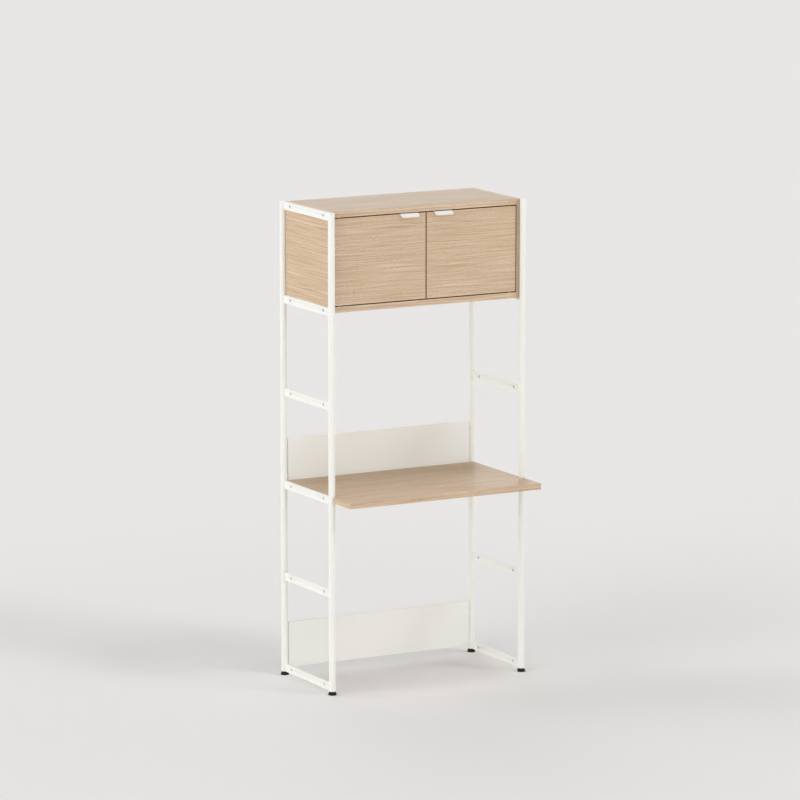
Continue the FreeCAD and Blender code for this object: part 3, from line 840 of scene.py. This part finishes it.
def make_panel_screws():
    low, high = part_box("panel_screws")
    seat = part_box("upper_back_panel")[1].x - panel_sheet
    places = []
    for node in ("lower_back_panel", "upper_back_panel"):
        panel_low, panel_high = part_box(node)
        inset = low.z + panel_screw_head_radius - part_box("lower_back_panel")[0].z
        for z in (panel_low.z + inset, panel_high.z - inset):
            for sign in SIDES.values():
                places.append((Vector((sign * seat, (low.y + high.y) / 2, z)), (-sign, 0, 0)))
    part = button_screw_part(high.x - seat)
    set_fasteners("panel_button_screws", part, places, "zinc_steel", "frame", "panel_screws")


# Boards


def board(name, node, arris, along, sheet, body, *cutters, painted_level_shade=0.0, scored=None, gap_shade_painted=None):
    """A veneered board in the place of a CAD node, scored where the shade painted in the door gaps ends."""
    piece = block(name, *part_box(node))
    if scored is not None:
        score(piece, scored)
    if cutters:
        cut(piece, *cutters)
    soften(piece, arris)
    lay_grain(piece, along, sheet, painted_level_shade, gap_shade_painted)
    dress(piece, "oak", body, node)


def arc(centre, radius, start, stop):
    angles = [radians(start + (stop - start) * step / ARC_STEPS) for step in range(ARC_STEPS + 1)]
    return [(centre[X] + radius * cos(angle), centre[Y] + radius * sin(angle)) for angle in angles]


def make_desk():
    low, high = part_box("desk_top")
    rear_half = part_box("right_rung_3")[0].x
    axis = upright_axis("right", "front")
    corner = (high.x - desk_corner_radius, low.y + desk_corner_radius)
    meets_edge = sqrt(desk_notch_radius ** 2 - (axis.x - rear_half) ** 2)
    notch_end = 180 - Vector((axis.x - rear_half, meets_edge)).angle(Vector((1, 0))) * 180 / pi
    right = arc(corner, desk_corner_radius, -90, 0)
    right += arc((axis.x, axis.y), desk_notch_radius, 270, notch_end)
    right += [(rear_half, high.y)]
    desk = prism("desk_board", right + [(-x, y) for x, y in reversed(right)], low.z, high.z)
    soften(desk, board_arris)
    # The desk's level faces are painted darker, as shade
    lay_grain(desk, X, 1, painted_level_shade=desk_painted_level_shade)
    dress(desk, "oak", "frame", "desk_top")


def make_set_screws():
    """Socket screws in the rungs that carry the desk and the cabinet."""
    for carried in ("desk", "cabinet"):
        node = carried + "_set_screws"
        low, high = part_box(node)
        rungs = [rung for rung in rung_nodes("right") if low.z < sum(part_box(rung), Vector()).z / 2 < high.z]
        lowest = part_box(rung_nodes("right")[0])[0].z
        places = []
        for rung in rungs:
            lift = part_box(rung)[0].z - lowest
            for side, sign in SIDES.items():
                for hole in hole_places(side)[0]:
                    places.append((Vector((sign * high.x, hole.y, hole.z + lift)), (sign, 0, 0)))
        set_fasteners(carried + "_socket_screws", set_screw_part(), places, "zinc_steel", "frame", node)


# Cabinet


def looks_into_opening(inward, depth):
    """Picks the faces of a board that look into the door opening, as far back as depth."""
    return lambda face: face.normal.dot(Vector(inward)) > FLAT and face.center.y < depth


def make_cabinet():
    low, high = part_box("cabinet_back")

    def rebate():
        return block("rebate", (low.x, low.y, low.z), (high.x, high.y + board_arris, high.z))

    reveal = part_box("left_door")[1].y
    # Faces that look into the opening, over the doors' thickness, get dark brown painted on as the shade in
    # the door gaps; the top's level faces are painted darker as shade
    walls = (("top", X, 2, (0, 0, -1), cabinet_top_painted_level_shade), ("bottom", X, 3, (0, 0, 1), 0.0),
             ("left_side", Y, 4, (1, 0, 0), 0.0), ("right_side", Y, 5, (-1, 0, 0), 0.0))
    for wall, along, sheet, inward, painted_level_shade in walls:
        board(f"cabinet_{wall}_board", f"cabinet_{wall}", board_arris, along, sheet, "frame", rebate(),
              painted_level_shade=painted_level_shade, scored=reveal, gap_shade_painted=looks_into_opening(inward, reveal))
    board("cabinet_back_board", "cabinet_back", back_board_arris, X, 6, "frame")
    make_back_screws()
    make_catches()


def make_back_screws():
    low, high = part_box("cabinet_back_screws")
    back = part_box("cabinet_back")[1].y
    left, right = low.x + flat_screw_head_radius, high.x - flat_screw_head_radius
    bottom, top = low.z + flat_screw_head_radius, high.z - flat_screw_head_radius
    spots = [(x, z) for z in (bottom, top) for x in (left + back_screw_inset, 0, right - back_screw_inset)]
    spots += [(left, (bottom + top) / 2), (right, (bottom + top) / 2)]
    places = [(Vector((x, back, z)), (0, 1, 0)) for x, z in spots]
    part = pan_screw_part(back - low.y)
    set_fasteners("back_pan_screws", part, places, "zinc_steel", "frame", "cabinet_back_screws")


def make_catches():
    """Magnetic catches under the cabinet's top, with their steel pole strips and screws."""
    low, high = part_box("door_catches")
    screws_low, screws_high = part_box("catch_screws")
    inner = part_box("right_strike_plate")[0].x - catch_past_strike
    for side, sign in SIDES.items():
        ends = sorted((sign * inner, sign * high.x))
        body = block(side + "_catch_body", (ends[0], low.y, low.z), (ends[1], high.y, high.z))
        soften(body, catch_arris)
        dress(body, "white_plastic", "frame", "door_catches")
        height = (low.z + high.z) / 2
        for name, z in (("lower", height - pole_offset), ("upper", height + pole_offset)):
            strip = block(f"{side}_catch_{name}_pole",
                          (ends[0] + pole_inset, low.y - pole_proud, z - pole_width / 2),
                          (ends[1] - pole_inset, low.y + pole_depth, z + pole_width / 2))
            soften(strip, pole_proud)
            dress(strip, "zinc_steel", "frame")
    outer = screws_high.x - flat_screw_head_radius
    spread = [outer, outer - catch_screw_pitch]
    y = (screws_low.y + screws_high.y) / 2
    places = [(Vector((sign * x, y, low.z)), (0, 0, -1)) for sign in SIDES.values() for x in spread]
    part = countersunk_screw_part(
        flat_screw_head_radius, catch_screw_head_depth, flat_screw_radius, screws_high.z - low.z)
    set_fasteners("catch_cross_screws", part, places, "zinc_steel", "frame", "catch_screws")


# Doors


def pull_point(along):
    """Y and Z of the pull's upper face, from where its bend starts, at a length from the sheet's rear."""
    bend = pull_bend_radius * pull_slope
    if along <= pull_flange:
        return pull_flange - along, 0.0
    turn = min(along - pull_flange, bend) / pull_bend_radius
    rest = max(along - pull_flange - bend, 0.0)
    y = -pull_bend_radius * sin(turn) - rest * cos(turn)
    z = -pull_bend_radius * (1 - cos(turn)) - rest * sin(turn)
    return y, z


def make_pull(side):
    """Sheet pull: a flange let into the door's top edge, bent to a rounded lip that slopes forward."""
    node = side + "_door_pull"
    low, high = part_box(node)
    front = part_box(side + "_door")[0].y
    middle, half = (low.x + high.x) / 2, (high.x - low.x) / 2
    bend = pull_bend_radius * pull_slope
    length = pull_flange + bend + pull_lip
    runs = [0.0] + [pull_flange + bend * step / BEND_STEPS for step in range(BEND_STEPS + 1)]
    rows = [(run, half) for run in runs]
    for x, run in arc((half - pull_corner_radius, length - pull_corner_radius), pull_corner_radius, 0, 90):
        rows.append((run, x))
    shape = bmesh.new()
    pairs = []
    for run, width in rows:
        y, z = pull_point(run)
        pairs.append([shape.verts.new((middle + x, front + y, high.z + z)) for x in (-width, width)])
    for (a, b), (c, d) in zip(pairs, pairs[1:]):
        shape.faces.new((a, b, d, c))
    bmesh.ops.recalc_face_normals(shape, faces=shape.faces)
    shape.faces.ensure_lookup_table()
    if shape.faces[0].normal.z < 0:
        bmesh.ops.reverse_faces(shape, faces=shape.faces)
    pull = from_bmesh(side + "_pull", shape)
    wall = pull.modifiers.new("sheet", "SOLIDIFY")
    wall.thickness = pull_sheet
    wall.offset = -1
    settle(pull)
    soften(pull, sheet_arris)
    dress(pull, "white_steel", side + "_door", node)
    spots = [(Vector((middle + x, front + pull_flange / 2, high.z + countersunk_proud)), (0, 0, 1))
             for x in (-pull_screw_spread, pull_screw_spread)]
    part = countersunk_screw_part(pull_screw_head_radius, pull_sheet, pull_screw_radius, pull_screw_length)
    set_fasteners(side + "_pull_cross_screws", part, spots, "zinc_steel", side + "_door",
                  side + "_pull_screws")


def make_strike(side):
    """Steel strike plate on the back of a door, with its screw."""
    node = side + "_strike_plate"
    low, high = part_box(node)
    plate = block(side + "_strike", low, high)
    soften(plate, sheet_arris)
    dress(plate, "zinc_steel", side + "_door", node)
    middle = (low + high) / 2
    spot = [(Vector((middle.x, high.y + countersunk_proud, middle.z)), (0, 1, 0))]
    part = countersunk_screw_part(
        flat_screw_head_radius, high.y - low.y, flat_screw_radius, strike_screw_length)
    set_fasteners(side + "_strike_cross_screw", part, spot, "zinc_steel", side + "_door",
                  side + "_strike_screw")


def make_doors():
    for side in SIDES:
        node = side + "_door"
        low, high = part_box(node)
        pull_low, pull_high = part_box(side + "_door_pull")
        rebate = block("pull_rebate", (pull_low.x, low.y - pull_sheet, high.z - pull_sheet),
                       (pull_high.x, low.y + pull_flange, high.z + pull_sheet))
        # The door's edges get dark brown painted on, as the shade in the gaps around it
        board(node + "_board", node, door_arris, X, 7, node, rebate,
              gap_shade_painted=lambda face: abs(face.normal.y) < FLAT)
        make_pull(side)
        make_strike(side)


# Studio


def make_stage():
    """Pale paper floor that runs on past the picture, with shade painted on it around the object."""
    floor = block(
        "studio_floor", (-floor_reach, -floor_reach, -floor_thickness), (floor_reach, floor_reach, 0))
    material, tree, shader = new_material("pale_studio_paper")
    place = add_node(tree, "ShaderNodeTexCoord").outputs["Object"]
    away = add_node(tree, "ShaderNodeVectorMath", {0: place}, operation="LENGTH").outputs["Value"]
    floor_shade_fade = add_node(tree, "ShaderNodeMapRange", {
        "Value": away, "From Min": painted_floor_shade_within, "From Max": painted_floor_shade_ends_beyond},
        interpolation_type="SMOOTHSTEP")
    # Painted shade: darker paper near the object, the plain pale paper far off
    paper = blend(tree, floor_shade_fade.outputs["Result"], linear("#F0EFEE"), linear("#F9F7F5"))
    tree.links.new(paper, shader.inputs["Base Color"])
    shader.inputs["Roughness"].default_value = 1.0
    shader.inputs["Specular IOR Level"].default_value = 0.0
    floor.data.materials.append(material)


def light_studio():
    """A bright ring of soft light low around the object, and softboxes."""
    world = bpy.data.worlds.new("studio")
    bpy.context.scene.world = world
    world.use_nodes = True
    tree = world.node_tree
    tree.nodes.clear()
    way = add_node(tree, "ShaderNodeTexCoord").outputs["Generated"]
    height = add_node(tree, "ShaderNodeSeparateXYZ", {0: way}).outputs["Z"]
    glow = add_node(tree, "ShaderNodeMapRange", {
        "Value": height, "From Min": ring_full_below, "From Max": ring_ends_at,
        "To Min": ring_strength, "To Max": 0.0}, interpolation_type="SMOOTHSTEP")
    ring = add_node(tree, "ShaderNodeBackground", {
        "Color": linear("#FFFFFF"), "Strength": glow.outputs["Result"]})
    backdrop = add_node(tree, "ShaderNodeBackground", {"Color": linear("#E7E5E3"), "Strength": 1.0})
    rays = add_node(tree, "ShaderNodeLightPath").outputs
    seen = rays["Is Camera Ray"]
    for kind in ("Is Glossy Ray", "Is Transmission Ray"):
        seen = add_node(tree, "ShaderNodeMath", {0: seen, 1: rays[kind]}, operation="MAXIMUM").outputs[0]
    mixed = add_node(tree, "ShaderNodeMixShader", {0: seen, 1: ring.outputs[0], 2: backdrop.outputs[0]})
    add_node(tree, "ShaderNodeOutputWorld", {"Surface": mixed.outputs[0]})
    for name, (toward, energy, spread) in softboxes.items():
        lamp = bpy.data.lights.new(name, "SUN")
        lamp.energy = energy
        lamp.angle = radians(spread)
        box = bpy.data.objects.new(name, lamp)
        box.rotation_euler = Vector(toward).to_track_quat("Z", "Y").to_euler()
        bpy.context.scene.collection.objects.link(box)


def place_camera():
    """The photograph's view: from the front left, a little above the cabinet, through a long lens."""
    camera = bpy.data.objects.new("camera", bpy.data.cameras.new("camera"))
    camera.data.sensor_width = camera_sensor
    camera.data.lens = camera_lens
    camera.data.clip_end = camera_reach
    camera.location = camera_place
    camera.rotation_euler = (pi / 2 - camera_dip, 0.0, -camera_turn)
    bpy.context.scene.collection.objects.link(camera)
    bpy.context.scene.camera = camera


def finish_cad_nodes():
    """The CAD nodes that stay, mostly inside other pieces, take the finish of their slot."""
    for subpart in frame["record"]["subparts"]:
        node = frame["nodes"][subpart["node"]]
        if not node.hide_render:
            for slot in node.material_slots:
                slot.material = finishes[subpart["material_slot"]]


make_uprights()
make_rungs()
make_threads()
make_weld_beads()
make_top_caps()
make_feet()
make_back_panels()
make_desk()
make_set_screws()
make_cabinet()
make_doors()
finish_cad_nodes()
make_stage()
light_studio()
place_camera()
bpy.context.scene.view_settings.view_transform = "Standard"
